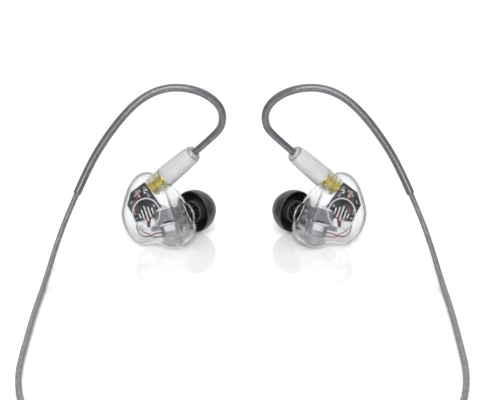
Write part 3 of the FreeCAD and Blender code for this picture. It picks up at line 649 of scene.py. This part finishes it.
BAR_LEAN = 28          # degrees that the level bars and the board's marks are turned
MARKS = [((1.3, 0.05, 0.3), (-1.6, 1.43, 6.65)), ((0.3, 0.05, 1.0), (-2.0, 1.43, 6.05)),
         ((0.6, 0.05, 0.26), (-1.4, 1.43, 5.9))]
BLOB = [(-0.02, 0.02), (-0.02, 0.42), (0.08, 0.46), (0.2, 0.36), (0.28, 0.16), (0.3, 0.02)]
BLOBS_AT = [(-3.95, 1.45, 5.2), (-3.4, 1.45, 4.5), (-4.6, 1.45, 0.3)]
# Trim on the middle and high drivers, and mid_foot on the rest below them: size, the point it is
# placed from, how far along and up from there, depth, look and rounding. Part of it is painted light
# and shade: a black line painted as shadow at the middle driver's lower edge, a dark end block that also
# paints a streak of shade at the middle driver's end, and on the high driver a light plate painted as
# its lit top and a darker plate painted as the shade on its lower face.
DRIVER_TRIM = {
    # painted shadow: black line at the middle driver's lower edge, where it meets the high driver
    "mid_painted_shadow": ((2.9, 0.3, 0.5), MID_AT, (1.3, -1.95), 3.42, "black_plastic", 0.04),
    "mid_cover": ((1.3, 0.12, 3.2), MID_AT, (2.15, 0.15), 3.46, "driver_metal", 0.04),
    # painted light: light plate on the high driver's top, standing for its lit upper side
    "high_cover": ((3.3, 0.12, 1.75), HIGH_AT, (0.15, 0.7), 3.02, "painted_light_grey", 0.04),
    # painted shade: darker plate on the high driver's lower face, standing for the shade there
    "high_painted_shade": ((3.5, 0.12, 1.3), HIGH_AT, (0.1, -1.0), 3.02, "relief_plastic", 0.04),
    "high_cap": ((0.6, 2.3, 3.3), HIGH_AT, (-2.2, 0.0), 4.3, "plug_rubber", 0.1),
    "mid_foot": ((2.9, 0.12, 1.5), (2.1, -4.25), (0.0, 0.0), 3.16, "driver_metal", 0.04),
    # painted shade: dark end cap on the middle driver, also put there as a dark streak of shade seen through
    # the shell
    "mid_end_painted_streak": ((0.5, 2.6, 3.6), MID_AT, (3.18, 0.0), 5.0, "relief_plastic", 0.1)}


def ear_tip(side):
    dome = turned_piece("tip_dome", TIP_DOME, NOZZLE_AT, NOZZLE_DIR, side, "tip_silicone",
                        side + "_tip", 56, "tip_silicone", 2)
    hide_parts(side + "_ear_tip")
    turned_piece("tip_core", TIP_CORE, NOZZLE_AT, NOZZLE_DIR, side, "tip_core", side + "_tip", 56,
                 "tip_silicone", 2)


def printed_mark(side):
    """White ring and level bars printed on the faceplate."""
    inner, outer = RING_R - RING_WIDE / 2, RING_R + RING_WIDE / 2
    profile = [(0.004, inner), (0.016, inner), (0.02, inner + 0.03), (0.02, outer - 0.03), (0.016, outer),
               (0.004, outer)]
    turned_piece("printed_ring", profile, Vector((0, 0, 0)), Vector((0, -1, 0)), side, "white_print",
                 side + "_earphone", 128, "white_plastic", 0)
    lean = math.radians(BAR_LEAN)
    bars = [block(f"bar_{i}", (0.42, 0.03, high), Vector((at * math.cos(lean), PRINT_Y, at * math.sin(lean))),
                  BAR_LEAN, side, "white_print", side + "_earphone", None, 0.012)
            for i, (at, high) in enumerate(BARS)]
    joined(side + "_printed_bars", bars)


def wire(name, routes, side, look):
    parts = []
    for route in routes:
        line, _ = spaced(nurbs_line([tuple(p) for p in placed(route, side)]), 0.12 * MM)
        parts.append(tube_mesh(line, np.full(len(line), WIRE_D / 2 * MM), 10))
    return piece(f"{side}_{name}", *gathered(parts), look, side + "_earphone", "wire_enamel")


def wiring(side):
    bundle = [[(x + shift * (1 - 0.12 * k), y, z) for k, (x, y, z) in enumerate(BUNDLE)]
              for shift in BUNDLE_WIRES]
    red = wire("wires_red", [PAIR_RED, SINGLE_WIRE, SECOND_WIRE] + bundle, side, "wire_red")
    wire("wire_copper", [PAIR_COPPER], side, "wire_copper")
    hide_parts(side + "_driver_wires")


def board_marks(side):
    body = side + "_earphone"
    marks = [block(f"mark_{i}", size, Vector(at), BAR_LEAN, side, "white_plastic", body, None, 0.02)
             for i, (size, at) in enumerate(MARKS)]
    joined(side + "_board_marks", marks)
    blobs = [turned_piece(f"blob_{i}", BLOB, Vector(at), Vector((0, -1, 0)), side, "red_solder", body, 20,
                          None, 0)
             for i, at in enumerate(BLOBS_AT)]
    joined(side + "_red_blobs", blobs)


def driver_trim(side):
    """Painted shadow line, cover and a dark end block that also paints a streak of shade on the middle
    driver; cap, painted lit top plate and painted shade plate on the high driver; and a plate on the rest
    below them.
    """
    turn = math.radians(DRIVER_TURN)
    for name, (size, (x, z), (along, up), depth, look, rounding) in DRIVER_TRIM.items():
        centre = Vector((x + along * math.cos(turn) - up * math.sin(turn), depth,
                         z + along * math.sin(turn) + up * math.cos(turn)))
        slot = "black_plastic" if look == "black_plastic" else "driver_metal"
        block(name, size, centre, DRIVER_TURN, side, look, side + "_earphone", slot, rounding)


def boot_core(side):
    """Opaque grip and strain relief inside the boot's clear skin."""
    turned_piece("boot_core", BOOT_CORE, SOCKET_FOOT, SOCKET_DIR, side, "boot_plastic", "cable", 64,
                 "boot_plastic", 2)
    turned_piece("boot_relief", BOOT_RELIEF, SOCKET_FOOT, SOCKET_DIR, side, "boot_end", "cable", 64,
                 "boot_plastic", 2)


for side in SIDES:
    ear_tip(side)
    printed_mark(side)
    wiring(side)
    board_marks(side)
    driver_trim(side)
    boot_core(side)


# ---- Camera, light and floor -----------------------------------------------------------------
CAMERA_AT, CAMERA_TILT = (0.00176, -0.43116, 0.15188), 72
CAMERA_LENS, CAMERA_SENSOR, CAMERA_NEAR = 110.52, 36, 0.01
FLOOR_REACH, FLOOR_STAIN = 3.0, 60.0
SKY_SPAN = (0.60, 0.88)            # where the backdrop turns from grey to white
SKY_GREY, SKY_WHITE = (0.40, 0.41, 0.425, 1), (1.2, 1.2, 1.2, 1)
SUN_POWER, SUN_SPREAD = 1.25, 110
FRONT_AT, FRONT_AIM = (0, -0.60, 0.42), (0, -0.01, 0.02)
FRONT_SIZE, FRONT_POWER = (0.11, 0.75), 5.0


def studio():
    scene = bpy.context.scene
    camera = bpy.data.objects.new("camera", bpy.data.cameras.new("camera"))
    camera.location = CAMERA_AT
    camera.rotation_euler = (math.radians(CAMERA_TILT), 0, 0)
    camera.data.lens = CAMERA_LENS
    camera.data.sensor_width = CAMERA_SENSOR
    camera.data.clip_start = CAMERA_NEAR
    scene.collection.objects.link(camera)
    scene.camera = camera
    scene.view_settings.view_transform = "Standard"

    floor_mesh = bpy.data.meshes.new("floor")
    corners = [(-1, -1), (1, -1), (1, 1), (-1, 1)]
    floor_mesh.from_pydata([(x * FLOOR_REACH, y * FLOOR_REACH, 0) for x, y in corners], [], [(0, 1, 2, 3)])
    floor = bpy.data.objects.new("floor", floor_mesh)
    white = Look("floor", grey(0.93), 0.08, specular_ior_level=0.8, coat_weight=0.5,
                 coat_roughness=0.03)
    white.vary_rough(white.noise(FLOOR_STAIN), 0.05, 0.08)
    floor_mesh.materials.append(white.mat)
    scene.collection.objects.link(floor)

    world = bpy.data.worlds.new("studio")
    world.use_nodes = True
    scene.world = world
    nodes, links = world.node_tree.nodes, world.node_tree.links
    place = nodes.new("ShaderNodeTexCoord")
    split = nodes.new("ShaderNodeSeparateXYZ")
    links.new(place.outputs["Generated"], split.inputs["Vector"])
    ramp = nodes.new("ShaderNodeValToRGB")
    for stop, at, colour in zip(ramp.color_ramp.elements, SKY_SPAN, (SKY_GREY, SKY_WHITE)):
        stop.position = at
        stop.color = colour
    links.new(split.outputs["Y"], ramp.inputs["Fac"])
    links.new(ramp.outputs["Color"], nodes["Background"].inputs["Color"])

    sun = bpy.data.lights.new("overhead", "SUN")
    sun.energy = SUN_POWER
    sun.angle = math.radians(SUN_SPREAD)
    lamp = bpy.data.objects.new("overhead", sun)
    scene.collection.objects.link(lamp)
    front = bpy.data.lights.new("front", "AREA")
    front.shape = "RECTANGLE"
    front.size, front.size_y = FRONT_SIZE
    front.energy = FRONT_POWER
    lamp = bpy.data.objects.new("front", front)
    lamp.location = FRONT_AT
    lamp.rotation_euler = (Vector(FRONT_AIM) - lamp.location).to_track_quat("-Z", "Y").to_euler()
    scene.collection.objects.link(lamp)


studio()
